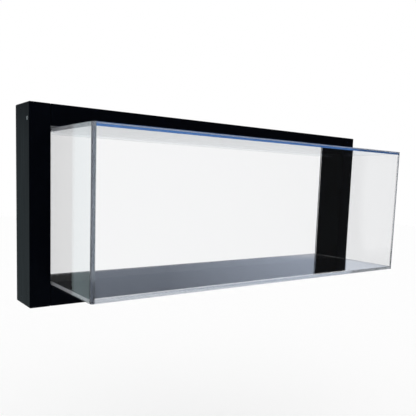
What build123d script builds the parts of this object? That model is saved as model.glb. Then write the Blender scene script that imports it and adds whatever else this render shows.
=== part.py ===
from build123d import *
import os

# Wall display case for a row of mini helmets: a black wooden frame on the wall, and a clear
# box, open at the back, that stands through the frame and reaches out over the room.
# Millimetres. +X to the right, -Y out from the wall, +Z up. The wall is the plane Y = 0.
# The origin lies midway between the two hanging points, on the frame's back.

# Wooden frame
FRAME_WIDTH = 609.6
FRAME_HEIGHT = 254.0
FRAME_DEPTH = 53.0
MEMBER_FACE = 27.0
EDGE_EASE = 1.2
END_EASE = 0.8

# Clear box
SHEET = 4.5
BOX_REACH = 119.5
SIDE_GAP = 0.6
FLOOR_GAP = 0.3
TOP_GAP = 2.2
BACK_GAP = 0.5
SHEET_ARRIS = 0.35

# Felt strip between the top rail and the box
STRIP_WIDTH = 15.0
STRIP_LENGTH = 500.0
STRIP_SETBACK = 19.0
STRIP_CLEARANCE = 0.3

# Trim-head screws that hold the frame's corners together
CORNER_HEAD_RADIUS = 2.4
CORNER_HEAD_DEPTH = 3.0
CORNER_SHANK_RADIUS = 1.75
CORNER_SCREW_LENGTH = 63.5
CORNER_SCREW_POINT = 5.0
FRONT_SCREW_SETBACK = 7.5
FRONT_SCREW_INSET = 19.5
REAR_SCREW_SETBACK = 32.0
REAR_SCREW_INSET = 7.5

# Every screw and screw hole: the play round a shank, and the flats that stand for its round
SCREW_FIT = 0.05
SCREW_SIDES = 24

# Keyhole hangers let into the backs of the stiles
HANGER_DROP = 23.0
PLATE_WIDTH = 16.0
PLATE_LENGTH = 44.0
PLATE_THICKNESS = 1.6
PLATE_CORNER = 3.0
PLATE_DROP = 4.0
PLATE_INSET = 0.2
PLATE_FIT = 0.1
KEYHOLE_RADIUS = 5.0
KEYHOLE_SLOT = 5.0
KEYHOLE_RISE = 10.0
POCKET_MARGIN = 1.0
POCKET_DEPTH = 9.0

# Screws that hold the hangers
HANGER_SCREW_SPACING = 34.0
HANGER_SCREW_LENGTH = 16.0
HANGER_SCREW_POINT = 4.0
HANGER_HEAD_RADIUS = 3.4
HANGER_HEAD_DEPTH = 1.5
HANGER_SHANK_RADIUS = 1.75

# Levels and planes that follow from the sizes above
FRAME_TOP = HANGER_DROP
FRAME_BOTTOM = FRAME_TOP - FRAME_HEIGHT
FRAME_MIDDLE = (FRAME_TOP + FRAME_BOTTOM) / 2
FRAME_FRONT = -FRAME_DEPTH
STILE_X = (FRAME_WIDTH - MEMBER_FACE) / 2
RAIL_LENGTH = FRAME_WIDTH - 2 * MEMBER_FACE
OPENING_TOP = FRAME_TOP - MEMBER_FACE
OPENING_BOTTOM = FRAME_BOTTOM + MEMBER_FACE
BOX_SIDE = RAIL_LENGTH / 2 - SIDE_GAP
BOX_TOP = OPENING_TOP - TOP_GAP
BOX_BOTTOM = OPENING_BOTTOM + FLOOR_GAP
BOX_FRONT = FRAME_FRONT - BOX_REACH
BOX_BACK = -BACK_GAP
INNER_SIDE = BOX_SIDE - SHEET
INNER_FRONT = BOX_FRONT + SHEET
PLATE_BACK = -PLATE_INSET
PLATE_FRONT = PLATE_BACK - PLATE_THICKNESS


def member(length):
    """A stick of frame stock along Z, its long edges rounded and its ends eased."""
    section = RectangleRounded(MEMBER_FACE, FRAME_DEPTH, EDGE_EASE)
    stick = extrude(section, amount=length / 2, both=True)
    ends = stick.faces().filter_by(Axis.Z)
    return chamfer(ends.edges(), END_EASE)


def screw(head_radius, head_depth, shank_radius, length, point, fit=0.0):
    """A countersunk screw, or with a fit its hole: head face at Z = 0, point towards -Z."""
    rings = [
        Pos(0, 0, level) * RegularPolygon(radius + fit, SCREW_SIDES)
        for radius, level in (
            (head_radius, 0),
            (shank_radius, -head_depth),
            (shank_radius, point - length),
        )
    ]
    return loft(rings + [Vertex(0, 0, -length - fit)], ruled=True)


def corner_screws(side, fit=0.0):
    """The four screws driven through one stile, two into each rail, or their holes."""
    driver = screw(
        CORNER_HEAD_RADIUS,
        CORNER_HEAD_DEPTH,
        CORNER_SHANK_RADIUS,
        CORNER_SCREW_LENGTH,
        CORNER_SCREW_POINT,
        fit,
    )
    laid = Rot(0, 90 * side, 0) * driver
    placed = []
    for setback, inset in (
        (FRONT_SCREW_SETBACK, FRONT_SCREW_INSET),
        (REAR_SCREW_SETBACK, REAR_SCREW_INSET),
    ):
        for level in (FRAME_TOP - inset, FRAME_BOTTOM + inset):
            placed.append(Pos(side * FRAME_WIDTH / 2, FRAME_FRONT + setback, level) * laid)
    return placed


def keyhole(grow=0.0):
    """Entry hole with a slot above it; the hanging point is at the sketch's origin."""
    entry = Pos(0, -KEYHOLE_RISE) * Circle(KEYHOLE_RADIUS + grow)
    slot = Pos(0, -KEYHOLE_RISE / 2) * SlotCenterToCenter(
        KEYHOLE_RISE, KEYHOLE_SLOT + 2 * grow, rotation=90
    )
    return entry + slot


def hanger_screws(side, fit=0.0):
    """The two screws of one hanger, heads towards the wall, or their holes."""
    driver = screw(
        HANGER_HEAD_RADIUS,
        HANGER_HEAD_DEPTH,
        HANGER_SHANK_RADIUS,
        HANGER_SCREW_LENGTH,
        HANGER_SCREW_POINT,
        fit,
    )
    driven = Rot(-90, 0, 0) * driver
    levels = (
        HANGER_SCREW_SPACING / 2 - PLATE_DROP,
        -HANGER_SCREW_SPACING / 2 - PLATE_DROP,
    )
    return [Pos(side * STILE_X, PLATE_BACK, level) * driven for level in levels]


def plate_outline(fit=0.0):
    """Outline of a hanger plate about the hanging point, or of its recess."""
    width = PLATE_WIDTH + 2 * fit
    length = PLATE_LENGTH + 2 * fit
    return Pos(0, -PLATE_DROP) * RectangleRounded(width, length, PLATE_CORNER + fit)


def hanger_plate(side):
    """A keyhole plate, countersunk at both ends."""
    blank = extrude(plate_outline() - keyhole(), amount=PLATE_THICKNESS)
    plate = Pos(side * STILE_X, PLATE_BACK, 0) * (Plane.XZ * blank)
    for hole in hanger_screws(side, SCREW_FIT):
        plate -= hole
    return plate


def stile(side):
    """An upright with its corner screw holes, hanger recess and pocket behind the keyhole."""
    upright = Pos(side * STILE_X, FRAME_FRONT / 2, FRAME_MIDDLE) * member(FRAME_HEIGHT)
    recess = extrude(plate_outline(PLATE_FIT), amount=-PLATE_FRONT)
    pocket = extrude(keyhole(POCKET_MARGIN), amount=POCKET_DEPTH - PLATE_FRONT)
    upright -= Pos(side * STILE_X, 0, 0) * (Plane.XZ * recess)
    upright -= Pos(side * STILE_X, 0, 0) * (Plane.XZ * pocket)
    for hole in corner_screws(side, SCREW_FIT) + hanger_screws(side, SCREW_FIT):
        upright -= hole
    return upright


def rail(middle):
    """A level member between the stiles, bored at both ends for the corner screws."""
    level = Pos(0, FRAME_FRONT / 2, middle) * (Rot(0, 90, 0) * member(RAIL_LENGTH))
    for side in (-1, 1):
        for hole in corner_screws(side, SCREW_FIT):
            level -= hole
    return level


def sheet(low, high):
    """A flat sheet of the box between two opposite corners."""
    corners = (Vector(*low), Vector(*high))
    middle = (corners[0] + corners[1]) / 2
    size = corners[1] - corners[0]
    return Pos(middle.X, middle.Y, middle.Z) * Box(size.X, size.Y, size.Z)


# Frame
stile_left = stile(-1)
stile_right = stile(1)
rail_top = rail(FRAME_TOP - MEMBER_FACE / 2)
rail_bottom = rail(FRAME_BOTTOM + MEMBER_FACE / 2)

# Felt strip, stuck to the underside of the top rail
strip_thickness = TOP_GAP - STRIP_CLEARANCE
grip_strip = Pos(
    0, FRAME_FRONT + STRIP_SETBACK + STRIP_WIDTH / 2, OPENING_TOP - strip_thickness / 2
) * Box(STRIP_LENGTH, STRIP_WIDTH, strip_thickness)

# Box: the side sheets run the full height and depth, the front stands between them,
# and the top and floor lie between the sides behind the front. The side sheets, whose edges
# stand out at the box's outer corners, have their arrises taken off.
side_sheet = sheet((-BOX_SIDE, BOX_FRONT, BOX_BOTTOM), (-INNER_SIDE, BOX_BACK, BOX_TOP))
side_panel_left = chamfer(side_sheet.edges(), SHEET_ARRIS)
side_panel_right = mirror(side_panel_left, about=Plane.YZ)
front_panel = sheet((-INNER_SIDE, BOX_FRONT, BOX_BOTTOM), (INNER_SIDE, INNER_FRONT, BOX_TOP))
top_panel = sheet((-INNER_SIDE, INNER_FRONT, BOX_TOP - SHEET), (INNER_SIDE, BOX_BACK, BOX_TOP))
floor_panel = sheet(
    (-INNER_SIDE, INNER_FRONT, BOX_BOTTOM), (INNER_SIDE, BOX_BACK, BOX_BOTTOM + SHEET)
)

pieces = {
    "stile_left": stile_left,
    "stile_right": stile_right,
    "rail_top": rail_top,
    "rail_bottom": rail_bottom,
    "grip_strip": grip_strip,
    "corner_screws_left": Compound(corner_screws(-1)),
    "corner_screws_right": Compound(corner_screws(1)),
    "hanger_plate_left": hanger_plate(-1),
    "hanger_plate_right": hanger_plate(1),
    "hanger_screws_left": Compound(hanger_screws(-1)),
    "hanger_screws_right": Compound(hanger_screws(1)),
    "side_panel_left": side_panel_left,
    "side_panel_right": side_panel_right,
    "front_panel": front_panel,
    "top_panel": top_panel,
    "floor_panel": floor_panel,
}

os.makedirs("parts", exist_ok=True)
for name, piece in pieces.items():
    export_step(piece, f"parts/{name}.step")
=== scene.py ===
import math

import bmesh
import bpy
from mathutils import Matrix, Vector


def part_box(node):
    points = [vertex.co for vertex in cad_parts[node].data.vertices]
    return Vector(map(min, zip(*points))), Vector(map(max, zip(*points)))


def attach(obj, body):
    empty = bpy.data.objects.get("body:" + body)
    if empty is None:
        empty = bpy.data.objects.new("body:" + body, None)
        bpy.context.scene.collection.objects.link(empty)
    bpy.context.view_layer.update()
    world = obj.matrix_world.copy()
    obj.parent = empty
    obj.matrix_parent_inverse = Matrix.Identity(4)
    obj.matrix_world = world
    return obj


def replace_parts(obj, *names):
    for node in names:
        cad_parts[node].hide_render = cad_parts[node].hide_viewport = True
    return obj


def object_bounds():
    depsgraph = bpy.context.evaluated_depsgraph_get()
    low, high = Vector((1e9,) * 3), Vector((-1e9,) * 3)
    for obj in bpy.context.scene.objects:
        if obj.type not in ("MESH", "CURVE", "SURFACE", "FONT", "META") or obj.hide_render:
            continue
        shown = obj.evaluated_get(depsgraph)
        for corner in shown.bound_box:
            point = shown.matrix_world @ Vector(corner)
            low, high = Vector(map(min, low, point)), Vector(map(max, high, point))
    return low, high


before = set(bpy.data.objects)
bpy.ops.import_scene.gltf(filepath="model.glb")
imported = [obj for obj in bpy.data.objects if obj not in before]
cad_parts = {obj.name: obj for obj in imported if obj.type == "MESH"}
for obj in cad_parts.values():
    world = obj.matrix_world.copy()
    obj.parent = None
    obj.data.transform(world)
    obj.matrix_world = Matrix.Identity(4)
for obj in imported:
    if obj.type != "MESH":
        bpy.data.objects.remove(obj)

cad_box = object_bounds()
MM = 0.001

# Camera, solved on the edges of the frame and the box in a 416 x 416 pixel picture
PICTURE = 416
FOCAL_PX = 523.82
CENTRE_PX = (202.0, 241.71)
CAMERA_YAW = 0.6355
CAMERA_PITCH = 0.1158
CAMERA_ROLL = 0.0344
CAMERA_PLACE = (-0.5138, -0.6940, -0.0649)
SENSOR = 36.0
CLIP_START = 0.01

# Studio floor, and the bounces that light needs inside the clear sheets
FLOOR_DROP = 0.35
FLOOR_HALF = 6.0
FLOOR_WHITE = 0.985
BOUNCES = 48

# Levels and tints of the studio
WHITE = 1.0
ROOM_DARK = 0.02
WALL = 0.55
WALL_TINT = (0.75, 0.95, 1.0)
MIRROR_LEFT = 0.04
MIRROR = 0.37
MIRROR_FAR = 0.66
MIRROR_TINT = (0.74, 0.83, 1.0)

# Where the studio's parts meet: each pair is where one starts to give way to the next and
# where it has done so, as parts of a direction of length 1
DOOR_X = -0.765
DOOR_HALF = (0.03, 0.04)
WALL_START = (-0.6, -0.5)
WALL_END = (-0.1, 0.1)
MIRROR_START = (0.405, 0.413)
MIRROR_RISE = (0.53, 0.73)
MIRROR_FOOT = (0.115, 0.14)
ROOM_EDGE = (-0.15, 0.15)
ROOM_HEIGHT = (0.3, 0.42)

# Clear sheets. The edge's haze comes in as the surface turns away from the sheet's own faces.
ACRYLIC_IOR = 1.49
EDGE_HAZE = 0.2
EDGE_TURN = (0.4, 0.9)
JOINT_HAIR = 0.02 * MM
ARRIS = 0.3 * MM
ARRIS_STEPS = 2
EDGE_ROUND = 3.6 * MM
ROUND_STEPS = 10
SHARP_ANGLE = 1.2
CEMENT = 0.02 * MM
TOP_SEAM = 1.6 * MM

# Patterns, in noise cells to the metre: a pore every 1.4 mm across the grain and 71 mm along
# it, mottle in plating every 1.1 mm, uneven lacquer 1.7 mm, bubbles 2.5 mm and fuzz 0.4 mm
GRAIN_ACROSS = 700.0
GRAIN_ALONG = 14.0
PLATING_MOTTLE = 900.0
LACQUER_MOTTLE = 600.0
CEMENT_BUBBLES = 400.0
FELT_FUZZ = 2500.0
NOISE_MIDDLE = (0.3, 0.7)

# Screws. The front screws stand a head step nearer the middle than the rear ones.
SIDES = 24
SHANK = 1.75 * MM
THREAD_ROOT = 1.3 * MM
PITCH = 2.2 * MM
RINGS_PER_TURN = 4
DRIVE = 0.95 * MM
DRIVE_DEPTH = 1.2 * MM
HEAD_STEP = 12.0 * MM
SPIN_SEED = 7
CORNER_SCREW = {
    "head": 2.4 * MM, "depth": 3.0 * MM, "plain": 25.0 * MM, "length": 63.5 * MM, "point": 5.0 * MM,
}
HANGER_SCREW = {
    "head": 3.4 * MM, "depth": 1.5 * MM, "plain": 4.0 * MM, "length": 16.0 * MM, "point": 4.0 * MM,
}


def linear(hex_colour):
    """An sRGB hex colour as linear red, green, blue and alpha."""
    channels = [int(hex_colour[i:i + 2], 16) / 255 for i in (1, 3, 5)]
    return [c / 12.92 if c <= 0.04045 else ((c + 0.055) / 1.055) ** 2.4 for c in channels] + [1.0]


def add(tree, kind, inputs=None, **settings):
    """Add one node, set its properties, and set or link its inputs by name or number."""
    made = tree.nodes.new(kind)
    for key, value in settings.items():
        setattr(made, key, value)
    for key, value in (inputs or {}).items():
        if isinstance(value, bpy.types.NodeSocket):
            tree.links.new(value, made.inputs[key])
        else:
            made.inputs[key].default_value = value
    return made


def ramp(tree, value, span, reach=(0.0, 1.0)):
    """A number that goes through its reach as the value goes through its span."""
    made = add(tree, "ShaderNodeMapRange", {
        0: value, 1: span[0], 2: span[1], 3: reach[0], 4: reach[1],
    })
    return made.outputs[0]


def noise(tree, cells, **inputs):
    """Noise over the object, of so many cells to the metre."""
    place = add(tree, "ShaderNodeTexCoord")
    made = add(tree, "ShaderNodeTexNoise", {"Vector": place.outputs["Object"], "Scale": cells, **inputs})
    return made.outputs[0]


def blend_colours(tree, factor, first, second):
    """Two colours, or colour outputs, mixed by a factor."""
    made = add(tree, "ShaderNodeMix", {0: factor, 6: first, 7: second}, data_type="RGBA")
    return made.outputs[2]


def grey(level, tint=(1.0, 1.0, 1.0)):
    """A colour of that level, with a tint."""
    return [level * part for part in tint] + [1.0]


def new_material(name):
    """An empty node material with its tree."""
    material = bpy.data.materials.new(name)
    material.use_nodes = True
    material.node_tree.nodes.clear()
    return material, material.node_tree


def finish_surface(tree, inputs, **outputs):
    """A principled shader with those inputs, led to the material's output."""
    shader = add(tree, "ShaderNodeBsdfPrincipled", inputs)
    add(tree, "ShaderNodeOutputMaterial", {"Surface": shader.outputs[0], **outputs})


def lacquered_poplar(name, grain_axis):
    """Sprayed black lacquer on poplar: a near-black satin film in which the pores just show, its
    reflections given a painted pale cyan tint.
    """
    material, tree = new_material(name)
    place = add(tree, "ShaderNodeTexCoord")
    stretch = [GRAIN_ACROSS] * 3
    stretch[grain_axis] = GRAIN_ALONG
    along = add(tree, "ShaderNodeMapping", {"Vector": place.outputs["Object"], "Scale": stretch})
    made = add(tree, "ShaderNodeTexNoise", {"Vector": along.outputs[0], "Scale": 1.0, "Detail": 4.0})
    grain = made.outputs[0]
    bump = add(tree, "ShaderNodeBump", {"Height": grain, "Strength": 0.25, "Distance": 0.08 * MM})
    finish_surface(tree, {
        "Base Color": blend_colours(tree, grain, linear("#010108"), linear("#05070C")),
        "Roughness": ramp(tree, grain, NOISE_MIDDLE, (0.34, 0.46)),
        "Specular IOR Level": 0.045,
        # Painted reflection colour: the pale cyan of the studio's green-grey wall, given to every
        # reflection on the lacquer
        "Specular Tint": linear("#D5F2FF"),
        "Normal": bump.outputs[0],
    })
    return material


def lacquered_steel():
    """A screw sprayed over with the frame: black lacquer of slightly uneven gloss and depth."""
    material, tree = new_material("black_lacquer_over_screw_steel")
    mottle = noise(tree, LACQUER_MOTTLE)
    finish_surface(tree, {
        "Base Color": blend_colours(tree, mottle, linear("#010108"), linear("#080B10")),
        "Roughness": ramp(tree, mottle, NOISE_MIDDLE, (0.32, 0.44)),
        "Specular IOR Level": 0.08,
    })
    return material


def cast_acrylic(name, through_axis, tint, tint_depth):
    """Cast acrylic sheet: its faces polished and clear, its machined edges faintly hazed.

    The haze lets out the light that runs along inside the sheet, so that the edges show pale
    and, over a long way through the sheet, blue.
    """
    material, tree = new_material(name)
    way = add(tree, "ShaderNodeTexCoord")
    facing = add(tree, "ShaderNodeSeparateXYZ", {0: way.outputs["Normal"]})
    flat = add(tree, "ShaderNodeMath", {0: facing.outputs[through_axis]}, operation="ABSOLUTE")
    body = add(tree, "ShaderNodeVolumeAbsorption", {"Color": linear(tint), "Density": tint_depth})
    finish_surface(tree, {
        "Base Color": linear("#FFFFFF"),
        "Roughness": ramp(tree, flat.outputs[0], EDGE_TURN, (EDGE_HAZE, 0.0)),
        "IOR": ACRYLIC_IOR,
        "Transmission Weight": 1.0,
    }, Volume=body.outputs[0])
    return material


def cement_haze():
    """Solvent cement on a sawn edge: a thin white haze with fine bubbles, paler than the sheet."""
    material, tree = new_material("cement_haze_on_sawn_acrylic")
    bubbles = noise(tree, CEMENT_BUBBLES, Detail=3.0)
    finish_surface(tree, {
        "Base Color": linear("#F4F4F6"),
        "Roughness": 0.55,
        "Transmission Weight": 0.55,
        "Alpha": ramp(tree, bubbles, NOISE_MIDDLE, (0.6, 1.0)),
    })
    return material


def zinc_plated(name, colour, roughness):
    """Zinc-plated steel, tumbled: pale grey with a soft, slightly uneven shine."""
    material, tree = new_material(name)
    mottle = noise(tree, PLATING_MOTTLE)
    finish_surface(tree, {
        "Base Color": linear(colour),
        "Metallic": 1.0,
        "Roughness": ramp(tree, mottle, (0.0, 1.0), (roughness - 0.08, roughness + 0.08)),
    })
    return material


def black_felt():
    """Pressed wool felt: black and matte, with a short fuzz that lifts its edges a little."""
    material, tree = new_material("black_felt")
    fuzz = noise(tree, FELT_FUZZ)
    bump = add(tree, "ShaderNodeBump", {"Height": fuzz, "Strength": 0.6, "Distance": 0.3 * MM})
    finish_surface(tree, {
        "Base Color": linear("#101010"),
        "Roughness": 0.95,
        "Sheen Weight": 0.2,
        "Normal": bump.outputs[0],
    })
    return material


def new_object(name, mesh):
    """An object for a mesh, at the origin."""
    piece = bpy.data.objects.new(name, mesh)
    bpy.context.collection.objects.link(piece)
    return piece


def box_piece(name, mesh, material):
    """A piece of the clear box, which slides with it."""
    mesh.materials.append(material)
    piece = new_object(name, mesh)
    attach(piece, "acrylic_box")
    return piece


def mesh_of(name, points, faces):
    """A closed mesh with its faces turned outwards."""
    mesh = bpy.data.meshes.new(name)
    mesh.from_pydata(points, [], faces)
    shape = bmesh.new()
    shape.from_mesh(mesh)
    bmesh.ops.recalc_face_normals(shape, faces=shape.faces[:])
    shape.to_mesh(mesh)
    shape.free()
    return mesh


def clear_sheet(node, material):
    """One sheet of the box, with a hairline at its joints and its arrises taken off. A side
    sheet's outer front edge is rounded over and polished."""
    low, high = (Vector(corner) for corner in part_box(node))
    middle = (low + high) / 2
    half = (high - low) / 2 - Vector((JOINT_HAIR, JOINT_HAIR, JOINT_HAIR))
    shape = bmesh.new()
    bmesh.ops.create_cube(shape, size=2.0)
    for vertex in shape.verts:
        vertex.co = middle + Vector(a * b for a, b in zip(vertex.co, half))
    if node.startswith("side_panel"):
        outer = [
            edge for edge in shape.edges
            if all(v.co.y < middle.y and abs(v.co.x) > abs(middle.x) for v in edge.verts)
        ]
        bmesh.ops.bevel(
            shape, geom=outer, offset=EDGE_ROUND, segments=ROUND_STEPS, profile=0.5, affect="EDGES"
        )
    sharp = [edge for edge in shape.edges if edge.calc_face_angle() > SHARP_ANGLE]
    bmesh.ops.bevel(shape, geom=sharp, offset=ARRIS, segments=ARRIS_STEPS, affect="EDGES")
    mesh = bpy.data.meshes.new(f"{node}_sheet")
    shape.to_mesh(mesh)
    shape.free()
    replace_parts(box_piece(f"{node}_sheet", mesh, material), node)


def cement_film(name, low, high, material):
    """A film of cement between two opposite corners."""
    points = [(x, y, z) for x in (low[0], high[0]) for y in (low[1], high[1]) for z in (low[2], high[2])]
    faces = [(0, 1, 3, 2), (4, 6, 7, 5), (0, 4, 5, 1), (2, 3, 7, 6), (0, 2, 6, 4), (1, 5, 7, 3)]
    box_piece(name, mesh_of(name, points, faces), material)


def cement_seams(material):
    """The films along both ends of the top and floor sheets, where they meet the sides, and
    the run along the upper part of the top sheet's front edge."""
    low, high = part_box("top_panel")
    cement_film(
        "top_panel_front_cement",
        (low[0] + ARRIS, low[1] - CEMENT / 2, high[2] - TOP_SEAM),
        (high[0] - ARRIS, low[1] + CEMENT / 2, high[2] - ARRIS),
        material,
    )
    for node in ("top_panel", "floor_panel"):
        low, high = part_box(node)
        for side, x in (("left", low[0]), ("right", high[0])):
            cement_film(
                f"{node}_{side}_cement",
                (x - CEMENT / 2, low[1] + ARRIS, low[2] + ARRIS),
                (x + CEMENT / 2, high[1] - ARRIS, high[2] - ARRIS),
                material,
            )


def screw_mesh(name, head, depth, plain, length, point):
    """A wood screw along -Z from its head's face, with a square drive recess and a thread."""
    turns = [2 * math.pi * side / SIDES for side in range(SIDES)]
    recess = [DRIVE / max(abs(math.cos(turn)), abs(math.sin(turn))) for turn in turns]
    rings = [(-DRIVE_DEPTH, recess), (0.0, recess), (0.0, [head] * SIDES)]
    rings += [(-depth, [SHANK] * SIDES), (-plain, [SHANK] * SIDES)]
    step = PITCH / RINGS_PER_TURN
    for count in range(1, int((length - point - plain) / step) + 1):
        level = plain + count * step
        waves = [abs((level / PITCH - turn / (2 * math.pi)) % 1.0 * 2 - 1) for turn in turns]
        rings.append((-level, [THREAD_ROOT + (SHANK - THREAD_ROOT) * wave for wave in waves]))
    points = [
        (radius * math.cos(turn), radius * math.sin(turn), level)
        for level, radii in rings
        for radius, turn in zip(radii, turns)
    ]
    following = [(side, (side + 1) % SIDES) for side in range(SIDES)]
    last = (len(rings) - 1) * SIDES
    faces = [
        (ring + this, ring + after, ring + SIDES + after, ring + SIDES + this)
        for ring in range(0, last, SIDES)
        for this, after in following
    ]
    bottom = len(points)
    tip = bottom + 1
    points += [(0, 0, -DRIVE_DEPTH), (0, 0, -length)]
    for this, after in following:
        faces += [(this, after, bottom), (last + this, last + after, tip)]
    return mesh_of(name, points, faces)


def screw_tree(screw, material):
    """Geometry Nodes that stand a screw on every place, its drive turned to a chance angle."""
    tree = bpy.data.node_groups.new("screws_on_places", "GeometryNodeTree")
    face = tree.interface
    face.new_socket("Places", in_out="INPUT", socket_type="NodeSocketGeometry")
    face.new_socket("Turn", in_out="INPUT", socket_type="NodeSocketVector")
    face.new_socket("Seed", in_out="INPUT", socket_type="NodeSocketInt")
    face.new_socket("Screws", in_out="OUTPUT", socket_type="NodeSocketGeometry")
    given = add(tree, "NodeGroupInput")
    chance = add(tree, "FunctionNodeRandomValue", {"Seed": given.outputs["Seed"]}, data_type="FLOAT")
    angle = add(tree, "ShaderNodeMath", {0: chance.outputs[1], 1: 2 * math.pi}, operation="MULTIPLY")
    about = add(tree, "ShaderNodeCombineXYZ", {"Z": angle.outputs[0]})
    spin = add(tree, "FunctionNodeEulerToRotation", {0: about.outputs[0]})
    laid = add(tree, "FunctionNodeEulerToRotation", {0: given.outputs["Turn"]})
    both = add(tree, "FunctionNodeRotateRotation", {
        0: laid.outputs[0], 1: spin.outputs[0],
    }, rotation_space="LOCAL")
    source = add(tree, "GeometryNodeObjectInfo", {"Object": screw})
    stood = add(tree, "GeometryNodeInstanceOnPoints", {
        "Points": given.outputs["Places"],
        "Instance": source.outputs["Geometry"],
        "Rotation": both.outputs[0],
    })
    real = add(tree, "GeometryNodeRealizeInstances", {0: stood.outputs[0]})
    done = add(tree, "GeometryNodeSetMaterial", {"Geometry": real.outputs[0], "Material": material})
    add(tree, "NodeGroupOutput", {0: done.outputs[0]})
    return tree


def screws(name, node, screw, places, turn, material):
    """The screws of a node that share a finish, baked to one plain mesh."""
    dots = bpy.data.meshes.new(name)
    dots.from_pydata(places, [], [])
    piece = new_object(name, dots)
    source = new_object("screw_source", screw)
    modifier = piece.modifiers.new("screws", "NODES")
    tree = screw_tree(source, material)
    modifier.node_group = tree
    given = {"Turn": turn, "Seed": SPIN_SEED}
    for item in tree.interface.items_tree:
        if item.name in given:
            modifier[item.identifier] = given[item.name]
    graph = bpy.context.evaluated_depsgraph_get()
    baked = bpy.data.meshes.new_from_object(piece.evaluated_get(graph))
    piece.modifiers.clear()
    piece.data = baked
    bpy.data.objects.remove(source)
    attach(piece, "frame")
    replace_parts(piece, node)


def corner_screws(side, way, screw, first_finish, painted):
    """One side's corner screws: the front upper one, whose finish is given, and the others."""
    node = f"corner_screws_{side}"
    head = CORNER_SCREW["head"]
    low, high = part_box(node)
    x = low[0] if way < 0 else high[0]
    front, rear = low[1] + head, high[1] - head
    top, bottom = high[2] - head, low[2] + head
    first = [(x, front, top - HEAD_STEP)]
    others = [(x, front, bottom + HEAD_STEP), (x, rear, top), (x, rear, bottom)]
    turn = (0.0, way * math.pi / 2, 0.0)
    screws(f"{node}_first", node, screw, first, turn, first_finish)
    screws(f"{node}_others", node, screw, others, turn, painted)


def hanger_screws(side, screw, bare):
    """The two screws of one hanger plate, their heads towards the wall."""
    node = f"hanger_screws_{side}"
    head = HANGER_SCREW["head"]
    low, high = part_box(node)
    x = (low[0] + high[0]) / 2
    places = [(x, high[1], low[2] + head), (x, high[1], high[2] - head)]
    screws(f"{node}_pair", node, screw, places, (-math.pi / 2, 0.0, 0.0), bare)


def all_screws(bare, painted):
    """Every screw. The left stile's front upper head shows bare, the other corner heads painted."""
    corner = screw_mesh("corner_screw", **CORNER_SCREW)
    hanger = screw_mesh("hanger_screw", **HANGER_SCREW)
    for side, way, first_finish in (("left", -1, bare), ("right", 1, painted)):
        corner_screws(side, way, corner, first_finish, painted)
        hanger_screws(side, hanger, bare)


def dress(node, material):
    """Give a CAD node its finish."""
    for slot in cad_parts[node].material_slots:
        slot.material = material


def studio_behind(tree, across, height):
    """What reflections see behind the case: white, with a green-grey wall and a dark doorway
    on the left, and above the floor sheet's mirrored horizon a lower, bluish level."""
    past_door = add(tree, "ShaderNodeMath", {0: across, 1: DOOR_X}, operation="SUBTRACT")
    door = add(tree, "ShaderNodeMath", {0: past_door.outputs[0]}, operation="ABSOLUTE")
    wall_in = ramp(tree, across, WALL_START)
    wall = blend_colours(tree, wall_in, grey(WHITE), grey(WALL, WALL_TINT))
    doorway = blend_colours(tree, ramp(tree, door.outputs[0], DOOR_HALF), grey(ROOM_DARK), wall)
    low = blend_colours(tree, ramp(tree, across, WALL_END), doorway, grey(WHITE))
    near, far = grey(MIRROR, MIRROR_TINT), grey(MIRROR_FAR, MIRROR_TINT)
    rising = blend_colours(tree, ramp(tree, across, MIRROR_RISE), near, far)
    mirrored = blend_colours(tree, ramp(tree, across, MIRROR_START), grey(MIRROR_LEFT), rising)
    return blend_colours(tree, ramp(tree, height, MIRROR_FOOT), low, mirrored)


def studio_world():
    """White to the eye, for soft light and straight through the clear sheets. Reflections, also
    those inside the sheets, see the studio behind the case, a dark room in front of it, and
    white above and below."""
    world = bpy.data.worlds.new("studio")
    bpy.context.scene.world = world
    world.use_nodes = True
    tree = world.node_tree
    tree.nodes.clear()
    way = add(tree, "ShaderNodeTexCoord")
    split = add(tree, "ShaderNodeSeparateXYZ", {0: way.outputs["Generated"]})
    across, depth, height = split.outputs
    behind = studio_behind(tree, across, height)
    level = blend_colours(tree, ramp(tree, depth, ROOM_EDGE), grey(ROOM_DARK), behind)
    steep = add(tree, "ShaderNodeMath", {0: height}, operation="ABSOLUTE")
    studio = blend_colours(tree, ramp(tree, steep.outputs[0], ROOM_HEIGHT), level, grey(WHITE))
    ray = add(tree, "ShaderNodeLightPath")
    reflected = ramp(tree, ray.outputs["Glossy Depth"], (0.0, 1.0))
    through = blend_colours(tree, reflected, grey(WHITE), studio)
    sharp = add(tree, "ShaderNodeMath", {
        0: ray.outputs["Is Glossy Ray"], 1: ray.outputs["Is Transmission Ray"],
    }, operation="MAXIMUM")
    seen = blend_colours(tree, sharp.outputs[0], grey(WHITE), through)
    sky = add(tree, "ShaderNodeBackground", {"Color": seen, "Strength": 1.0})
    add(tree, "ShaderNodeOutputWorld", {"Surface": sky.outputs[0]})


def studio_floor():
    """A pale floor, well below the case, which keeps its shadow."""
    level = cad_box[0][2] - FLOOR_DROP
    corners = [
        (x * FLOOR_HALF, y * FLOOR_HALF, level) for x, y in ((-1, -1), (1, -1), (1, 1), (-1, 1))
    ]
    mesh = bpy.data.meshes.new("studio_floor")
    mesh.from_pydata(corners, [], [(0, 1, 2, 3)])
    material, tree = new_material("pale_floor")
    shader = add(tree, "ShaderNodeBsdfDiffuse", {"Color": grey(FLOOR_WHITE)})
    add(tree, "ShaderNodeOutputMaterial", {"Surface": shader.outputs[0]})
    mesh.materials.append(material)
    floor = new_object("studio_floor", mesh)
    floor.visible_glossy = False
    floor.visible_transmission = False


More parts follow.
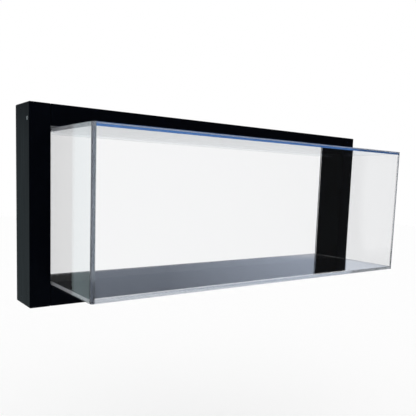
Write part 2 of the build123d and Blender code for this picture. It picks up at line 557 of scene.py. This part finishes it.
def studio_camera():
    """The camera, placed and framed as the photograph's."""
    optics = bpy.data.cameras.new("camera")
    optics.sensor_width = SENSOR
    optics.lens = FOCAL_PX / PICTURE * SENSOR
    optics.shift_x = (PICTURE / 2 - CENTRE_PX[0]) / PICTURE
    optics.shift_y = (CENTRE_PX[1] - PICTURE / 2) / PICTURE
    optics.clip_start = CLIP_START
    camera = new_object("camera", optics)
    level = math.cos(CAMERA_PITCH)
    ahead = Vector((
        math.sin(CAMERA_YAW) * level, math.cos(CAMERA_YAW) * level, -math.sin(CAMERA_PITCH),
    ))
    right = Vector((math.cos(CAMERA_YAW), -math.sin(CAMERA_YAW), 0))
    up = right.cross(ahead)
    turn = Matrix((right, up, -ahead)).transposed()
    roll = Matrix.Rotation(CAMERA_ROLL, 3, "Z")
    camera.matrix_world = Matrix.Translation(CAMERA_PLACE) @ (turn @ roll).to_4x4()
    bpy.context.scene.camera = camera


bpy.context.scene.view_settings.view_transform = "Standard"
cycles = bpy.context.scene.cycles
cycles.max_bounces = BOUNCES
cycles.glossy_bounces = BOUNCES
cycles.transmission_bounces = BOUNCES
studio_camera()
studio_world()
studio_floor()

upright_wood = lacquered_poplar("black_lacquer_on_upright_grain", 2)
level_wood = lacquered_poplar("black_lacquer_on_level_grain", 0)
clear_side = cast_acrylic("cast_acrylic_side_sheet", 0, "#A0A8B4", 12.0)
clear_front = cast_acrylic("cast_acrylic_front_sheet", 1, "#9CC4F0", 4.0)
clear_top = cast_acrylic("cast_acrylic_top_sheet", 2, "#6AB5E3", 16.0)
clear_floor = cast_acrylic("cast_acrylic_floor_sheet", 2, "#D0DAE6", 4.0)
screw_steel = zinc_plated("zinc_plated_screw_steel", "#B8BABB", 0.38)
plate_steel = zinc_plated("zinc_plated_strip_steel", "#C2C3C0", 0.3)

for node, finish in (
    ("stile_left", upright_wood),
    ("stile_right", upright_wood),
    ("rail_top", level_wood),
    ("rail_bottom", level_wood),
    ("grip_strip", black_felt()),
    ("hanger_plate_left", plate_steel),
    ("hanger_plate_right", plate_steel),
):
    dress(node, finish)
for node, sheet in (
    ("side_panel_left", clear_side),
    ("side_panel_right", clear_side),
    ("front_panel", clear_front),
    ("top_panel", clear_top),
    ("floor_panel", clear_floor),
):
    clear_sheet(node, sheet)
cement_seams(cement_haze())
all_screws(screw_steel, lacquered_steel())
